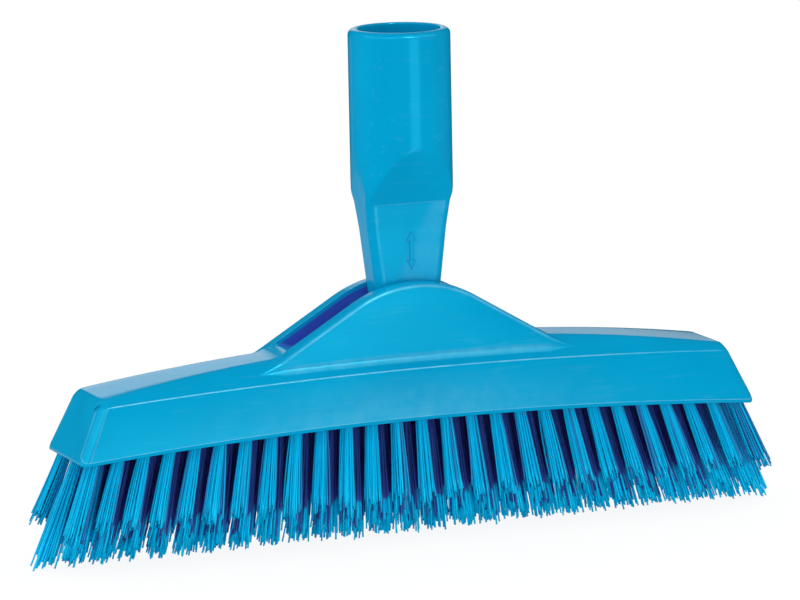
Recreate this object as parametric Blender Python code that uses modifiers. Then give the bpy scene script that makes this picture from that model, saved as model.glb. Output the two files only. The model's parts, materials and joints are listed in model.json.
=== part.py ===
"""Grout brush with a tilting handle socket.

A long arched block carries five staggered rows of bristle tufts, trimmed to a V. Two humped cheeks rise
from its middle. The flat tongue of the handle socket stands in the slot between them on a cross pin: it
tilts lengthwise about the pin, and it slides a little along its own axis, because its pin hole is long.

Metres, +Z up. The origin is on the floor under the middle of the block, at the bristle tips. X runs along
the block and Y across it.
"""
import math

import bmesh
import bpy
from mathutils import Matrix, Vector

# Bristle field
BRISTLE_HEIGHT = 0.0335
TUFT_PITCH = 0.0082
ROW_PITCH = 0.0060
ROW_NAMES = {-2: "front", -1: "front_inner", 0: "middle", 1: "back_inner", 2: "back"}
END_TUFT_MARGIN = 0.0050
TUFTS_PER_PIECE = 3
STRAND_WIDTH = 0.0014
STRAND_GAP = 0.0004
STRAND_ROOT_DEPTH = 0.0010
INNER_ROW_TIP_HEIGHT = 0.0065
OUTER_ROW_TIP_HEIGHT = 0.0135
FLAT_CUT = 0.0005
END_LEAN = math.radians(25.0)
SIDE_LEAN = math.radians(11.0)
TIP_SPREAD_SHARE = 1.75
TIP_WIDTH_SHARE = 0.9
RAGGED_LENGTH = 0.0020
RAGGED_SHARES = (0.0, 0.6, 0.25, 1.0)

# Root pieces of the tufts, let into the underside, and the rim of the block round them
ROOT_THICKNESS = 0.0020
SEAT_GAP = 0.0003
END_ROOT_MARGIN = 0.0029
RIM_WALL = 0.00145

# Brush block, heights above its lower end corners
BLOCK_LENGTH = 0.2250
BLOCK_WIDTH = len(ROW_NAMES) * ROW_PITCH + SEAT_GAP + 2 * RIM_WALL
END_BATTER = 0.0091
SIDE_BATTER = 0.0025
BLOCK_TOP_LENGTH = BLOCK_LENGTH - 2 * END_BATTER
SHOULDER_WIDTH = BLOCK_WIDTH - 2 * SIDE_BATTER
SHOULDER_HEIGHT = 0.0173
END_TOP_RISE = 0.0020
BOTTOM_ARCH = 0.0049
SHOULDER_ARCH = 0.0035
TOP_ARCH = 0.0088
TOP_SLOPE = math.radians(43.5)
PLAN_CORNER_RADIUS = 0.0045
BLOCK_EDGE_RADIUS = 0.0010

# Pivot, and the tongue that stands on it
PIVOT_HEIGHT = 0.0330
PIN_RADIUS = 0.0030
PIN_CLEARANCE = 0.0002
PIN_RECESS = 0.0005
PIN_FRONT_WALL = 0.0018
PIN_EDGE_RADIUS = 0.0004
LOCK_TRAVEL = 0.0050
TONGUE_THICKNESS = 0.0110
TONGUE_FOOT_RADIUS = 0.0085
TONGUE_FOOT_DROP = 0.0030
TONGUE_SIDE_CLEARANCE = 0.0005
TONGUE_FLOOR_CLEARANCE = 0.0006

# Cheeks and slot, heights above the block's lower end corners
HUMP_HEIGHT = 0.0468
HUMP_CREST_RADIUS = 0.0385
HUMP_SLOPE = math.radians(30.7)
HUMP_WIDTH = 0.0226
HUMP_EDGE_RADIUS = 0.0017
TOE_RADIUS = 0.0100
TOE_WIDTH = 0.0150
TOE_SINK = 0.0001
SLOT_WIDTH = TONGUE_THICKNESS + 2 * TONGUE_SIDE_CLEARANCE
SLOT_END_INSET = 0.0030
SLOT_END_RISE = 0.00035

# Handle socket, heights above the block's lower end corners
NECK_TOP_HEIGHT = 0.0710
TUBE_LENGTH = 0.0537
BORE_RADIUS = 0.0127
TUBE_WALL = 0.0031
TUBE_RADIUS = BORE_RADIUS + TUBE_WALL
RIM_HEIGHT = NECK_TOP_HEIGHT + TUBE_LENGTH
RIM_EDGE_RADIUS = 0.0015
MOUTH_CHAMFER = 0.0005
FACET_RISE = 0.0175
BORE_FLOOR_MARGIN = 0.0002
BORE_DEPTH = TUBE_LENGTH - FACET_RISE - BORE_FLOOR_MARGIN
NECK_TOP_THICKNESS = 0.0132
NECK_FLARE_LENGTH = 0.0080
NECK_WAIST_WIDTH = 0.0220
NECK_WAIST_HEIGHT = 0.0460
NECK_SIDE_TAPER = math.radians(7.07)
NECK_EDGE_RADIUS = 0.0018
THREAD_PITCH = 0.0045
THREAD_RADIUS = 0.0009
THREAD_LEAD_IN = 0.0040

# Raised double arrow on the neck
ARROW_LENGTH = 0.0116
ARROW_HEAD_WIDTH = 0.0028
ARROW_HEAD_LENGTH = 0.0029
ARROW_SHAFT_WIDTH = 0.0010
ARROW_BARB_SWEEP = 0.0004
ARROW_RELIEF = 0.00025
ARROW_PLACE_SHARE = 0.408

# How finely curves are stepped, how far cutters run past what they cut, and how near points are merged
BLOCK_STATIONS = 18
CORNER_STEPS = 4
ARC_STEPS = 12
TUBE_SIDES = 48
PIN_SIDES = 24
THREAD_STEPS = 20
OVERRUN = 0.0020
WELD_DISTANCE = 0.000001
HALF_TURN = math.radians(180.0)
QUARTER_TURN = HALF_TURN / 2
SHARP_ANGLE = math.radians(30.0)
RIGHT_ANGLED = math.radians(60.0)

PLASTIC_BLUE = (0.0, 0.36, 0.66, 1.0)
BRISTLE_BLUE = (0.0, 0.33, 0.62, 1.0)
STEEL_GREY = (0.62, 0.63, 0.65, 1.0)

# Local X, Y and Z laid along world X, Z and -Y, and along world Y, Z and X
UPRIGHT_ALONG = Matrix(((1, 0, 0, 0), (0, 0, -1, 0), (0, 1, 0, 0), (0, 0, 0, 1)))
UPRIGHT_ACROSS = Matrix(((0, 0, 1, 0), (1, 0, 0, 0), (0, 1, 0, 0), (0, 0, 0, 1)))


def above_corner(height):
    """Height above the floor of a point given above the block's lower end corners."""
    return BRISTLE_HEIGHT + height


def make_material(name, color, roughness, metallic):
    """A Principled BSDF material."""
    material = bpy.data.materials.new(name)
    material.use_nodes = True
    shader = material.node_tree.nodes["Principled BSDF"]
    shader.inputs["Base Color"].default_value = color
    shader.inputs["Roughness"].default_value = roughness
    shader.inputs["Metallic"].default_value = metallic
    material.diffuse_color = color
    return material


def make_object(name, mesh, collection, material=None):
    """An object for a mesh, shaded smooth but for its real edges."""
    obj = bpy.data.objects.new(name, mesh)
    if material:
        mesh.materials.append(material)
    mesh.shade_smooth()
    mesh.set_sharp_from_angle(angle=SHARP_ANGLE)
    collection.objects.link(obj)
    return obj


def mesh_from(bm, name):
    """A mesh from a bmesh, with its faces turned outwards."""
    bmesh.ops.recalc_face_normals(bm, faces=bm.faces)
    mesh = bpy.data.meshes.new(name)
    bm.to_mesh(mesh)
    bm.free()
    return mesh


def hide_as_cutter(obj):
    """Marks a helper solid that only shapes others."""
    obj.hide_render = True
    obj.display_type = "WIRE"
    return obj


def combine(target, other, operation):
    """Adds a Boolean modifier that joins, cuts or trims the target with another solid."""
    modifier = target.modifiers.new(other.name, "BOOLEAN")
    modifier.object = other
    modifier.operation = operation
    modifier.solver = "EXACT"


def round_edges(obj, radius, segments):
    """Adds a Bevel modifier that rounds the edges where the surface turns sharply."""
    bevel = obj.modifiers.new("rounding", "BEVEL")
    bevel.width = radius
    bevel.segments = segments
    bevel.limit_method = "ANGLE"
    bevel.angle_limit = RIGHT_ANGLED
    return bevel


def even_shading(obj):
    """Adds a Weighted Normal modifier, so that large flat faces look flat beside their rounded edges."""
    modifier = obj.modifiers.new("shading", "WEIGHTED_NORMAL")
    modifier.keep_sharp = True


def solid_from_curve(name, curve, matrix, collection):
    """Turns a curve into a closed mesh whose flat caps are single faces."""
    guide = bpy.data.objects.new(name + "_guide", curve)
    collection.objects.link(guide)
    guide.matrix_world = matrix
    bpy.context.view_layer.update()
    evaluated = guide.evaluated_get(bpy.context.evaluated_depsgraph_get())
    mesh = bpy.data.meshes.new_from_object(evaluated)
    bm = bmesh.new()
    bm.from_mesh(mesh)
    bmesh.ops.remove_doubles(bm, verts=bm.verts, dist=WELD_DISTANCE)
    bmesh.ops.dissolve_limit(bm, angle_limit=math.radians(0.5), verts=bm.verts, edges=bm.edges)
    bmesh.ops.recalc_face_normals(bm, faces=bm.faces)
    bm.to_mesh(mesh)
    bm.free()
    mesh.materials.clear()
    solid = make_object(name, mesh, collection)
    solid.matrix_world = matrix
    bpy.data.objects.remove(guide)
    return solid


def outline_solid(name, points, thickness, matrix, collection):
    """A flat outline, thickened evenly to both sides of its plane."""
    curve = bpy.data.curves.new(name, "CURVE")
    curve.dimensions = "2D"
    curve.fill_mode = "BOTH"
    curve.extrude = thickness / 2
    spline = curve.splines.new("POLY")
    spline.points.add(len(points) - 1)
    for point, (x, y) in zip(spline.points, points):
        point.co = (x, y, 0, 1)
    spline.use_cyclic_u = True
    return solid_from_curve(name, curve, matrix, collection)


def cylinder_solid(name, radius, length, centre, sides, collection, edge_radius=0):
    """A cylinder along Y, made from a primitive."""
    bm = bmesh.new()
    bmesh.ops.create_cone(
        bm, cap_ends=True, segments=sides, radius1=radius, radius2=radius, depth=length,
        matrix=Matrix.Rotation(QUARTER_TURN, 4, "X"))
    if edge_radius:
        rims = [edge for edge in bm.edges if edge.calc_face_angle() > RIGHT_ANGLED]
        bmesh.ops.bevel(bm, geom=rims, offset=edge_radius, segments=2, affect="EDGES", profile=0.5)
    solid = make_object(name, mesh_from(bm, name), collection)
    solid.location = centre
    return solid


def loft(rings):
    """A closed bmesh through rings of points that all have the same number of points."""
    bm = bmesh.new()
    rows = [[bm.verts.new(point) for point in ring] for ring in rings]
    for first, second in zip(rows, rows[1:]):
        for index in range(len(first)):
            after = (index + 1) % len(first)
            bm.faces.new((first[index], first[after], second[after], second[index]))
    bm.faces.new(rows[0])
    bm.faces.new(reversed(rows[-1]))
    bmesh.ops.recalc_face_normals(bm, faces=bm.faces)
    bm.normal_update()
    return bm


def arc(centre, radius, start, end, steps):
    """Points of an arc in a plane, angles counted from straight up, positive towards +X."""
    angles = [start + (end - start) * index / steps for index in range(steps + 1)]
    return [(centre[0] + radius * math.sin(a), centre[1] + radius * math.cos(a)) for a in angles]


def mirrored(points):
    """The outline of a shape that is symmetric about x = 0, from its right half, crest first."""
    return [(-x, y) for x, y in reversed(points)] + [(x, y) for x, y in points if x > 0]


def block_heights(share):
    """Bottom, shoulder and top heights of the block at a share of its half length."""
    arch = 1 - share * share
    bottom = above_corner(BOTTOM_ARCH * arch)
    shoulder = above_corner(SHOULDER_HEIGHT + SHOULDER_ARCH * arch)
    top = above_corner(SHOULDER_HEIGHT + END_TOP_RISE + TOP_ARCH * arch)
    return bottom, shoulder, top


def stations():
    """Even stations along the block, as shares of its half length."""
    return [2 * index / BLOCK_STATIONS - 1 for index in range(BLOCK_STATIONS + 1)]


def block_ring(share):
    """Cross-section of the block: battered sides, a sloped face above each shoulder, and a flat top."""
    bottom, shoulder, top = block_heights(share)
    top_half = SHOULDER_WIDTH / 2 - (top - shoulder) / math.tan(TOP_SLOPE)
    half_ring = ((BLOCK_WIDTH / 2, bottom), (SHOULDER_WIDTH / 2, shoulder), (top_half, top))
    full_ring = [(y, z) for y, z in half_ring] + [(-y, z) for y, z in reversed(half_ring)]
    ring = []
    for y, z in full_ring:
        rise = (z - bottom) / (top - bottom)
        x = share * (BLOCK_LENGTH - rise * (BLOCK_LENGTH - BLOCK_TOP_LENGTH)) / 2
        ring.append((x, y, z))
    return ring


def pocket_ring(share):
    """Cross-section of the shallow pocket in the underside that takes the root pieces."""
    bottom = block_heights(share * 2 * pocket_half_length() / BLOCK_LENGTH)[0]
    x = share * pocket_half_length()
    half = pocket_half_width()
    low = bottom - OVERRUN
    high = bottom + ROOT_THICKNESS + SEAT_GAP
    return [(x, half, low), (x, half, high), (x, -half, high), (x, -half, low)]


def full_row_tufts():
    """Tufts in a full row: as many as the block's length takes at the tufts' pitch."""
    return int((BLOCK_LENGTH - 2 * END_TUFT_MARGIN) / TUFT_PITCH) + 1


def pocket_half_length():
    """Half the length of the pocket: the last tuft of a full row and the margin beyond it."""
    return (full_row_tufts() - 1) / 2 * TUFT_PITCH + END_ROOT_MARGIN + SEAT_GAP


def pocket_half_width():
    """Half the width of the pocket: the rows of root pieces, with a gap at each side."""
    return (len(ROW_NAMES) * ROW_PITCH + SEAT_GAP) / 2


def hump_crest():
    """The round crest of the cheeks, in side view, as far as the right flank."""
    centre = (0, above_corner(HUMP_HEIGHT - HUMP_CREST_RADIUS))
    return arc(centre, HUMP_CREST_RADIUS, 0, HUMP_SLOPE, ARC_STEPS)


def flank_point(height):
    """The point of the right flank at a height. The flank runs straight from the crest into the block."""
    crest_x, crest_z = hump_crest()[-1]
    return crest_x + (crest_z - height) / math.tan(HUMP_SLOPE), height


def hump_outline():
    """Side view of the cheeks: a round crest and straight flanks that run down into the block."""
    buried = above_corner(SHOULDER_HEIGHT)
    return mirrored(hump_crest() + [flank_point(buried)])


def flank_foot():
    """Where the right flank reaches the block's flat top, found in a few steps that close in on it."""
    x, z = flank_point(block_heights(0)[2])
    for _ in range(ARC_STEPS):
        x, z = flank_point(block_heights(2 * x / BLOCK_TOP_LENGTH)[2] - TOE_SINK)
    return x, z


def toe_outline():
    """Side view of the hollow toes, arcs that touch the flank and the slope of the block's flat top."""
    foot_x, foot_z = flank_foot()
    top_slope = math.atan(8 * TOP_ARCH * foot_x / BLOCK_TOP_LENGTH ** 2)
    reach = TOE_RADIUS * math.tan((HUMP_SLOPE - top_slope) / 2)
    start_x = foot_x - reach * math.cos(HUMP_SLOPE)
    start_z = foot_z + reach * math.sin(HUMP_SLOPE)
    centre = (start_x + TOE_RADIUS * math.sin(HUMP_SLOPE), start_z + TOE_RADIUS * math.cos(HUMP_SLOPE))
    toe = arc(centre, TOE_RADIUS, HALF_TURN + HUMP_SLOPE, HALF_TURN + top_slope, ARC_STEPS // 2)
    return mirrored(toe + [(toe[-1][0], above_corner(SHOULDER_HEIGHT))])


def slot_end():
    """Where the slot's floor comes out through the right flank, and a little above it."""
    foot_x, foot_z = flank_foot()
    return foot_x - SLOT_END_INSET, foot_z + SLOT_END_INSET * math.tan(HUMP_SLOPE) + SLOT_END_RISE


def slot_outline():
    """Side view of the slot: a round well under the tongue, ramps out to both ends, and open above."""
    well_radius = tongue_reach() + TONGUE_FLOOR_CLEARANCE
    centre = (0, above_corner(PIVOT_HEIGHT))
    well = arc(centre, well_radius, HALF_TURN, HALF_TURN - ramp_start_angle(well_radius), ARC_STEPS // 2)
    open_top = (slot_end()[0], above_corner(HUMP_HEIGHT) + OVERRUN)
    return mirrored(well + [slot_end(), open_top])


def ramp_start_angle(well_radius):
    """Angle from straight down at which a ramp from the slot's end meets the well as a tangent."""
    run, end_z = slot_end()
    rise = above_corner(PIVOT_HEIGHT) - end_z
    distance = math.hypot(run, rise)
    return math.atan2(run, rise) - math.acos(well_radius / distance)


def tongue_reach():
    """Farthest that the tongue's round foot reaches from the pivot."""
    return TONGUE_FOOT_DROP + TONGUE_FOOT_RADIUS


def pin_length():
    """The pin fills its blind hole, short of its recess at the back and the wall left at the front."""
    return HUMP_WIDTH - PIN_RECESS - PIN_FRONT_WALL - SEAT_GAP


def weigh_block_edges(bm):
    """Gives the upright corner edges the full bevel width, and the block's other real edges a smaller one."""
    weights = bm.edges.layers.float.new("bevel_weight_edge")
    for edge in bm.edges:
        ends = [face for face in edge.link_faces if len(face.verts) > 4]
        if edge.calc_face_angle() < SHARP_ANGLE:
            continue
        heights = [vert.co.z for vert in edge.verts]
        upright = abs(heights[0] - heights[1]) > BLOCK_EDGE_RADIUS
        edge[weights] = 1 if ends and upright else BLOCK_EDGE_RADIUS / PLAN_CORNER_RADIUS


def make_block(parts, cutters, plastic):
    """The block with its cheeks, slot, root pocket and pin hole."""
    bm = loft([block_ring(share) for share in stations()])
    weigh_block_edges(bm)
    block = make_object("brush_block", mesh_from(bm, "brush_block"), parts, plastic)
    bevel = round_edges(block, PLAN_CORNER_RADIUS, CORNER_STEPS)
    bevel.limit_method = "WEIGHT"

    hump = outline_solid("cheeks", hump_outline(), HUMP_WIDTH, UPRIGHT_ALONG, cutters)
    round_edges(hump, HUMP_EDGE_RADIUS, 3)
    combine(block, hide_as_cutter(hump), "UNION")
    toes = outline_solid("toes", toe_outline(), TOE_WIDTH, UPRIGHT_ALONG, cutters)
    combine(block, hide_as_cutter(toes), "UNION")

    slot = outline_solid("slot", slot_outline(), SLOT_WIDTH, UPRIGHT_ALONG, cutters)
    combine(block, hide_as_cutter(slot), "DIFFERENCE")

    bm = loft([pocket_ring(share) for share in stations()])
    pocket = make_object("root_pocket", mesh_from(bm, "root_pocket"), cutters)
    combine(block, hide_as_cutter(pocket), "DIFFERENCE")

    hole_start = PIN_FRONT_WALL - HUMP_WIDTH / 2
    hole_end = HUMP_WIDTH / 2 + OVERRUN
    hole = cylinder_solid(
        "pin_hole", PIN_RADIUS + PIN_CLEARANCE, hole_end - hole_start,
        (0, (hole_start + hole_end) / 2, above_corner(PIVOT_HEIGHT)), PIN_SIDES, cutters)
    combine(block, hide_as_cutter(hole), "DIFFERENCE")
    even_shading(block)
    return block


def make_pin(parts, steel):
    """The cross pin, put in from the back cheek and stopped by the blind hole in the front one."""
    centre = (0, HUMP_WIDTH / 2 - PIN_RECESS - pin_length() / 2, above_corner(PIVOT_HEIGHT))
    pin = cylinder_solid("pivot_pin", PIN_RADIUS, pin_length(), centre, PIN_SIDES, parts, PIN_EDGE_RADIUS)
    pin.data.materials.append(steel)
    return pin


def below_tongue():
    """A height a little below the tongue's round foot, from which the socket's blanks start."""
    return above_corner(PIVOT_HEIGHT) - tongue_reach() - OVERRUN


def neck_outline():
    """Front view of the socket: a round foot, a waist at the cheeks, and sides that open out past the tube."""
    centre = (0, above_corner(PIVOT_HEIGHT - TONGUE_FOOT_DROP))
    foot = arc(centre, TONGUE_FOOT_RADIUS, HALF_TURN, QUARTER_TURN, ARC_STEPS // 2)
    waist_half = NECK_WAIST_WIDTH / 2
    wide_half = TUBE_RADIUS + OVERRUN
    side_rise = (wide_half - waist_half) / math.tan(NECK_SIDE_TAPER)
    side = [(waist_half, above_corner(NECK_WAIST_HEIGHT)),
            (wide_half, above_corner(NECK_WAIST_HEIGHT + side_rise)),
            (wide_half, above_corner(RIM_HEIGHT) + OVERRUN)]
    return mirrored(foot + side)


def neck_side_outline():
    """Side view of the socket: even thickness in the slot, a flare, and facets that open out past the tube."""
    half = TONGUE_THICKNESS / 2
    top_half = NECK_TOP_THICKNESS / 2
    wide_half = TUBE_RADIUS + OVERRUN
    facet_rise = FACET_RISE * (wide_half - top_half) / (TUBE_RADIUS - top_half)
    right = [(half, below_tongue()), (half, above_corner(NECK_TOP_HEIGHT - NECK_FLARE_LENGTH)),
             (top_half, above_corner(NECK_TOP_HEIGHT)), (wide_half, above_corner(NECK_TOP_HEIGHT + facet_rise)),
             (wide_half, above_corner(RIM_HEIGHT) + OVERRUN)]
    return mirrored(right)


def tube_profile():
    """Half section of the round blank, from the middle of its lower face round the outside into the bore."""
    rim = above_corner(RIM_HEIGHT)
    bore_floor = rim - BORE_DEPTH
    centre = (TUBE_RADIUS - RIM_EDGE_RADIUS, rim - RIM_EDGE_RADIUS)
    rounding = arc(centre, RIM_EDGE_RADIUS, 0, QUARTER_TURN, CORNER_STEPS)
    return [(0, bore_floor), (BORE_RADIUS, bore_floor), (BORE_RADIUS, rim - MOUTH_CHAMFER),
            (BORE_RADIUS + MOUTH_CHAMFER, rim)] + rounding + [(TUBE_RADIUS, below_tongue()), (0, below_tongue())]


def turned_solid(name, profile, sides, collection):
    """A profile of radius and height, turned about Z with a Screw modifier."""
    bm = bmesh.new()
    verts = [bm.verts.new((radius, 0, height)) for radius, height in profile]
    for first, second in zip(verts, verts[1:]):
        bm.edges.new((first, second))
    mesh = bpy.data.meshes.new(name)
    bm.to_mesh(mesh)
    bm.free()
    obj = make_object(name, mesh, collection)
    screw = obj.modifiers.new("turning", "SCREW")
    screw.steps = sides
    screw.render_steps = sides
    screw.use_merge_vertices = True
    screw.merge_threshold = WELD_DISTANCE
    screw.use_normal_calculate = True
    return obj


def thread_solid(collection):
    """The round ridge of the internal thread, as a helix on the bore's wall."""
    length = BORE_DEPTH - 2 * THREAD_LEAD_IN
    turns = length / THREAD_PITCH
    count = round(turns * THREAD_STEPS)
    start = above_corner(RIM_HEIGHT) - BORE_DEPTH + THREAD_LEAD_IN
    curve = bpy.data.curves.new("thread", "CURVE")
    curve.dimensions = "3D"
    curve.bevel_depth = THREAD_RADIUS
    curve.bevel_resolution = 1
    curve.use_fill_caps = True
    spline = curve.splines.new("POLY")
    spline.points.add(count)
    for index, point in enumerate(spline.points):
        angle = 2 * HALF_TURN * turns * index / count
        height = start + length * index / count
        point.co = (BORE_RADIUS * math.cos(angle), BORE_RADIUS * math.sin(angle), height, 1)
    return solid_from_curve("thread", curve, Matrix.Identity(4), collection)


def arrow_outline():
    """The double arrow, as seen from the front."""
    neck_length = NECK_TOP_HEIGHT - NECK_WAIST_HEIGHT
    centre = above_corner(NECK_WAIST_HEIGHT + ARROW_PLACE_SHARE * neck_length)
    tip = ARROW_LENGTH / 2
    barb = tip - ARROW_HEAD_LENGTH
    upper = [(0, centre + tip), (ARROW_HEAD_WIDTH / 2, centre + barb),
             (ARROW_SHAFT_WIDTH / 2, centre + barb + ARROW_BARB_SWEEP)]
    lower = [(x, 2 * centre - z) for x, z in reversed(upper)]
    right = upper + lower
    return right + [(-x, z) for x, z in reversed(right) if x > 0]


def make_socket(parts, cutters, plastic):
    """The handle socket in one moulding: a round blank with a threaded bore, pared down to neck and tongue."""
    socket = turned_solid("handle_socket", tube_profile(), TUBE_SIDES, parts)
    socket.data.materials.append(plastic)
    across = 2 * (TUBE_RADIUS + 2 * OVERRUN)
    neck = outline_solid("neck_blank", neck_outline(), across, UPRIGHT_ALONG, cutters)
    sides = outline_solid("neck_sides", neck_side_outline(), across, UPRIGHT_ACROSS, cutters)
    combine(neck, hide_as_cutter(sides), "INTERSECT")
    round_edges(neck, NECK_EDGE_RADIUS, 2)
    combine(socket, hide_as_cutter(neck), "INTERSECT")

    hole_radius = PIN_RADIUS + PIN_CLEARANCE
    pivot_z = above_corner(PIVOT_HEIGHT)
    top = arc((0, pivot_z), hole_radius, 0, QUARTER_TURN, ARC_STEPS // 2)
    low = arc((0, pivot_z - LOCK_TRAVEL), hole_radius, QUARTER_TURN, HALF_TURN, ARC_STEPS // 2)
    right = top + low
    long_hole = outline_solid(
        "long_pin_hole", right + [(-x, z) for x, z in reversed(right[1:-1])],
        TONGUE_THICKNESS + 2 * OVERRUN, UPRIGHT_ALONG, cutters)
    combine(socket, hide_as_cutter(long_hole), "DIFFERENCE")

    combine(socket, hide_as_cutter(thread_solid(cutters)), "UNION")

    arrow_depth = TONGUE_THICKNESS + 2 * ARROW_RELIEF
    arrow = outline_solid("arrow", arrow_outline(), arrow_depth, UPRIGHT_ALONG, cutters)
    combine(socket, hide_as_cutter(arrow), "UNION")
    even_shading(socket)
    return socket


def tuft_groups(tufts):
    """Splits a row's tufts into runs for its root pieces, with a short run in the middle."""
    pieces = math.ceil(tufts / TUFTS_PER_PIECE)
    sizes = [TUFTS_PER_PIECE] * pieces
    sizes[pieces // 2] -= TUFTS_PER_PIECE * pieces - tufts
    groups = []
    start = 0
    for size in sizes:
        groups.append(range(start, start + size))
        start += size
    return groups


def strand(bm, root, tip):
    """One strand: a four-sided taper, sheared from root to tip so that its end is cut level."""
    size = STRAND_WIDTH / math.sqrt(2)
    run = root - tip
    middle = (root + tip) / 2
    shear = Matrix(((1, 0, run.x, middle.x), (0, 1, run.y, middle.y), (0, 0, run.z, middle.z), (0, 0, 0, 1)))
    bmesh.ops.create_cone(
        bm, cap_ends=True, segments=4, radius1=size * TIP_WIDTH_SHARE, radius2=size, depth=1,
        matrix=shear @ Matrix.Rotation(QUARTER_TURN / 2, 4, "Z"))


def strand_offsets(row):
    """Where a tuft's strands stand about its middle: four in the outer and middle rows, three between."""
    half = (STRAND_WIDTH + STRAND_GAP) / 2
    if row in (-1, 1):
        return [(half, 0), (-half, half), (-half, -half)]
    return [(half, half), (half, -half), (-half, half), (-half, -half)]


def row_tip_height(row):
    """Height above the floor to which a row is trimmed. The middle row stands on the floor."""
    return (0, INNER_ROW_TIP_HEIGHT, OUTER_ROW_TIP_HEIGHT)[abs(row)]


def add_tuft(bm, x, row):
    """One tuft of a row, fanned out towards the block's end and side and cut ragged."""
    y = row * ROW_PITCH
    outward = -1 if x < 0 else 1
    sideways = -1 if row < 0 else 1
    floor_height = block_heights(2 * x / BLOCK_LENGTH)[0]
    lean_x = math.tan(END_LEAN) * 2 * x / BLOCK_LENGTH
    lean_y = math.tan(SIDE_LEAN) * row / 2
    for index, (along, across) in enumerate(strand_offsets(row)):
        share = RAGGED_SHARES[(index + round(abs(x) / TUFT_PITCH)) % len(RAGGED_SHARES)]
        cut = FLAT_CUT if row == 0 else 0
        tip_height = row_tip_height(row) + max(0, share * RAGGED_LENGTH - cut)
        from_middle = Vector((outward * along, sideways * across, 0))
        root = Vector((x, y, floor_height + STRAND_ROOT_DEPTH)) + from_middle
        drop = floor_height - tip_height
        tip = Vector((x + lean_x * drop, y + lean_y * drop, tip_height)) + from_middle * TIP_SPREAD_SHARE
        strand(bm, root, tip)


def make_tuft_piece(name, row, places, ends, parts, cutters, bristle):
    """A run of tufts in one row, with the slice of backing that holds their roots."""
    low_x, high_x = ends
    middle_x = (low_x + high_x) / 2
    share = 2 * middle_x / BLOCK_LENGTH
    slope = math.atan(-4 * BOTTOM_ARCH * share / BLOCK_LENGTH)
    size = (high_x - low_x, ROW_PITCH - SEAT_GAP, ROOT_THICKNESS)
    centre = (middle_x, row * ROW_PITCH, block_heights(share)[0] + ROOT_THICKNESS / 2)
    bm = bmesh.new()
    bmesh.ops.create_cube(bm, size=1, matrix=Matrix.Diagonal((*size, 1)))
    root = make_object(name, mesh_from(bm, name), parts, bristle)
    root.location = centre
    root.rotation_euler = (0, -slope, 0)

    bm = bmesh.new()
    for x in places:
        add_tuft(bm, x, row)
    strands = make_object(name + "_strands", mesh_from(bm, name), cutters)
    combine(root, hide_as_cutter(strands), "UNION")
    return root


def make_tufts(parts, cutters, bristle):
    """The rows of tufts. Every second row has one tuft fewer, set half a pitch over."""
    for row, row_name in ROW_NAMES.items():
        tufts = full_row_tufts() - abs(row) % 2
        places = [(index - (tufts - 1) / 2) * TUFT_PITCH for index in range(tufts)]
        groups = tuft_groups(tufts)
        for number, group in enumerate(groups, 1):
            low_x = places[group[0]] - (TUFT_PITCH - SEAT_GAP) / 2
            high_x = places[group[-1]] + (TUFT_PITCH - SEAT_GAP) / 2
            if number == 1:
                low_x = SEAT_GAP - pocket_half_length()
            if number == len(groups):
                high_x = pocket_half_length() - SEAT_GAP
            run = [places[index] for index in group]
            make_tuft_piece(
                f"tufts_{row_name}_{number}", row, run, (low_x, high_x), parts, cutters, bristle)


def main():
    for obj in list(bpy.data.objects):
        bpy.data.objects.remove(obj)
    parts = bpy.data.collections.new("grout_brush")
    cutters = bpy.data.collections.new("cutters")
    for collection in (parts, cutters):
        bpy.context.scene.collection.children.link(collection)
    plastic = make_material("moulded_blue_plastic", PLASTIC_BLUE, 0.35, 0.0)
    bristle = make_material("blue_bristle", BRISTLE_BLUE, 0.4, 0.0)
    steel = make_material("pin_steel", STEEL_GREY, 0.3, 1.0)
    make_block(parts, cutters, plastic)
    make_pin(parts, steel)
    make_socket(parts, cutters, plastic)
    make_tufts(parts, cutters, bristle)


main()
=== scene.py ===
# %% [markdown]
# # A grout brush with a tilting handle socket
#
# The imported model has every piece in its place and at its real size. This lesson gives the pieces their real
# surfaces: the soft roundings of a moulding, the screw thread in the socket, and thousands of fine
# filaments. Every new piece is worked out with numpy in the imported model's own frame, so nothing is moved
# afterwards.

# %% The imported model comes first
import json
import math

import bmesh
import bpy
import numpy as np
from mathutils import Matrix, Vector

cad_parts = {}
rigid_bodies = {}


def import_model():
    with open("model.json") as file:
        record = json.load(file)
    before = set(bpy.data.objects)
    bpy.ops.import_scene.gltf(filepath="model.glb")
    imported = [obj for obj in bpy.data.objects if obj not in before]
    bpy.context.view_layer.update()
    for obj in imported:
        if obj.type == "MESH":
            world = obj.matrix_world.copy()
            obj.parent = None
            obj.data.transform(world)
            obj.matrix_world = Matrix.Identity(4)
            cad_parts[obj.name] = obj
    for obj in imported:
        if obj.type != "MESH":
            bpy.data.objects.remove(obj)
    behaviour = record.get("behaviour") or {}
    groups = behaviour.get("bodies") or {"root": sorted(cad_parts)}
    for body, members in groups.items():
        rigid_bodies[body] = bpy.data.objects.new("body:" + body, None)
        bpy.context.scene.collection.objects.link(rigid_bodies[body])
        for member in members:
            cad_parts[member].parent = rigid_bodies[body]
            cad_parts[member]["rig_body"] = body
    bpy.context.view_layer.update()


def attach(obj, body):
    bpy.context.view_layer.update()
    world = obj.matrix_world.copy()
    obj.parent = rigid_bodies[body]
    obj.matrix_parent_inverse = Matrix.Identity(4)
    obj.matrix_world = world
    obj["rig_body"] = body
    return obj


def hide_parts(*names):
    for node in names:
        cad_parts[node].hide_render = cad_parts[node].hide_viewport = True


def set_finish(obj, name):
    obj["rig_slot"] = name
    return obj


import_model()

# %% [markdown]
# ## The camera
#
# A product is photographed from far away with a long lens, so that its sides stay nearly parallel. This
# camera's place, direction and small roll were found by matching known points of the brush with where they
# fall in the picture.

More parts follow.
